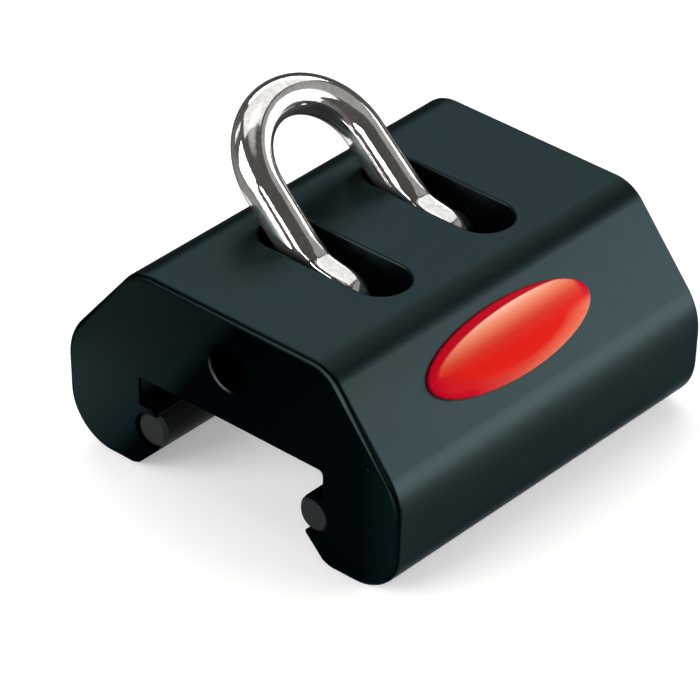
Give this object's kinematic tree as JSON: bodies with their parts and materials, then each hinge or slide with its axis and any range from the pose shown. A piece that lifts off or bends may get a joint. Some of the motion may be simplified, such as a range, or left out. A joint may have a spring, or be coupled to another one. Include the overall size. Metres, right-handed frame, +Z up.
{
  "type": "slide rod car",
  "caption": "Black anodised sail-track car on two low-friction slide rods, with a hinged stainless bow for a rope or shackle.",
  "frame": {"origin": "on the ground plane under the middle of the body, where its two feet stand", "axes": "+Y along the track, +X across it towards the side with the badge, +Z up through the top face"},
  "size_m": [0.044, 0.046, 0.0337],
  "materials": {
    "anodised_aluminium": "satin black hard anodised",
    "polished_stainless": "mirror polished",
    "pin_stainless": "turned",
    "slide_rod_acetal": "smooth moulded, slightly waxy",
    "badge_red": "printed foil",
    "badge_resin": "clear domed resin"
  },
  "bodies": {
    "car": {"car_body": "anodised_aluminium", "pivot_pin": "pin_stainless", "slide_rod_left": "slide_rod_acetal", "slide_rod_right": "slide_rod_acetal", "badge_foil": "badge_red", "badge_dome": "badge_resin"},
    "bow": {"bow": "polished_stainless"}
  },
  "joints": [
    {"name": "bow_swing", "type": "hinge", "parent": "car", "child": "bow", "pos_m": [0, 0, 0.0174], "axis": [0, 1, 0], "range_deg": [0, 92.6]}
  ]
}
